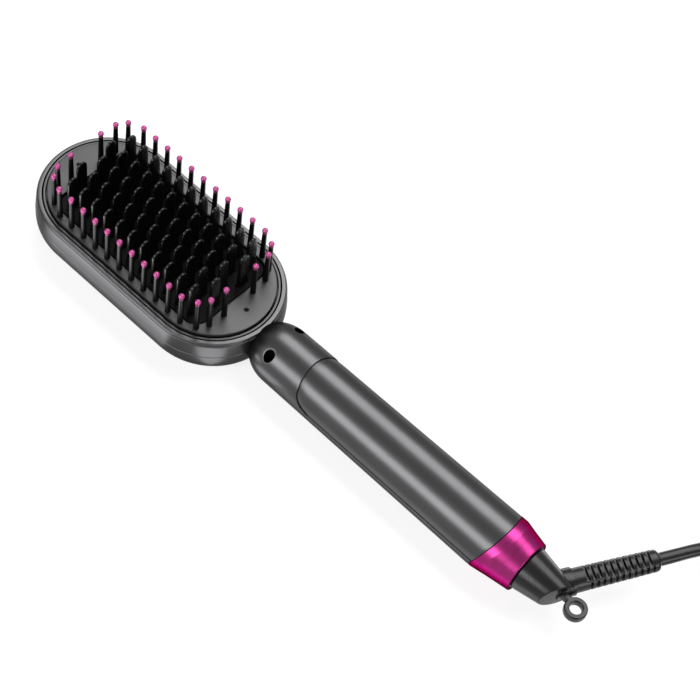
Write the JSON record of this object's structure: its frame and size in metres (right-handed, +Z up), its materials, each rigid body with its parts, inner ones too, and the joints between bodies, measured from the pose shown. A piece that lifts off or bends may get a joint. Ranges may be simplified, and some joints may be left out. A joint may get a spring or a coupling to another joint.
{
  "type": "hair straightening comb",
  "caption": "Corded heated comb: round-ended head with rows of flat teeth and ball-tipped guard pins, round handle with a bright ring, turning tail cone, hanging loop and coiled lead.",
  "frame": {"origin": "on the surface that the comb lies on, under the middle of the comb's length without its lead, on its plane of symmetry", "axes": "+X along the handle from the head to the tail, +Z up the way the teeth point, +Y to the left seen from the head's tip"},
  "size_m": [0.4613, 0.163, 0.0488],
  "materials": {
    "shell": "satin metallic dark grey paint",
    "plate": "satin metallic mid grey",
    "comb": "gloss black ceramic coat",
    "pins": "gloss black shafts with pink ball tips",
    "magenta": "anodised magenta, polished",
    "gloss_black": "gloss black",
    "cord": "smooth black",
    "steel": "bright metal",
    "heater": "raw",
    "ceramic": "matt off-white",
    "nylon": "matt dark",
    "board": "green",
    "window": "clear"
  },
  "bodies": {
    "handle": {"body_shell": "shell", "front_rim": "shell", "face_plate": "plate", "comb_plate": "comb", "guard_pins": "pins", "heater_holder": "nylon", "heater": "heater", "temperature_sensor": "ceramic", "thermal_fuse": "steel", "plate_screw_tip": "steel", "plate_screw_neck": "steel", "neck_screw_right": "steel", "neck_screw_left": "steel", "handle_cover": "shell", "control_panel": "gloss_black", "indicator_window": "window", "circuit_board": "board", "power_switch": "nylon", "plus_switch": "nylon", "minus_switch": "nylon", "mains_block": "nylon", "slip_ring_block": "nylon", "tail_ring": "magenta", "swivel_bush": "nylon"},
    "power_key": {"power_key": "gloss_black"},
    "plus_key": {"plus_key": "gloss_black"},
    "minus_key": {"minus_key": "gloss_black"},
    "tail": {"tail_cone": "gloss_black", "hanging_loop": "gloss_black", "strain_relief": "cord", "cord_lead": "cord", "cord_coil": "cord", "cord_tail": "cord", "plug_body": "cord", "plug_pin_a": "steel", "plug_pin_b": "steel"}
  },
  "joints": [
    {"name": "tail_swivel", "type": "hinge", "parent": "handle", "child": "tail", "pos_m": [0.13367, 0, 0.016], "axis": [1, 0, 0], "continuous": true},
    {"name": "power_key_travel", "type": "slide", "parent": "handle", "child": "power_key", "axis": [0, 0, 1], "range_m": [0, 0.0006], "stiffness_N_per_m": 2000},
    {"name": "plus_key_travel", "type": "slide", "parent": "handle", "child": "plus_key", "axis": [0, 0, 1], "range_m": [0, 0.0006], "stiffness_N_per_m": 2000},
    {"name": "minus_key_travel", "type": "slide", "parent": "handle", "child": "minus_key", "axis": [0, 0, 1], "range_m": [0, 0.0006], "stiffness_N_per_m": 2000}
  ]
}
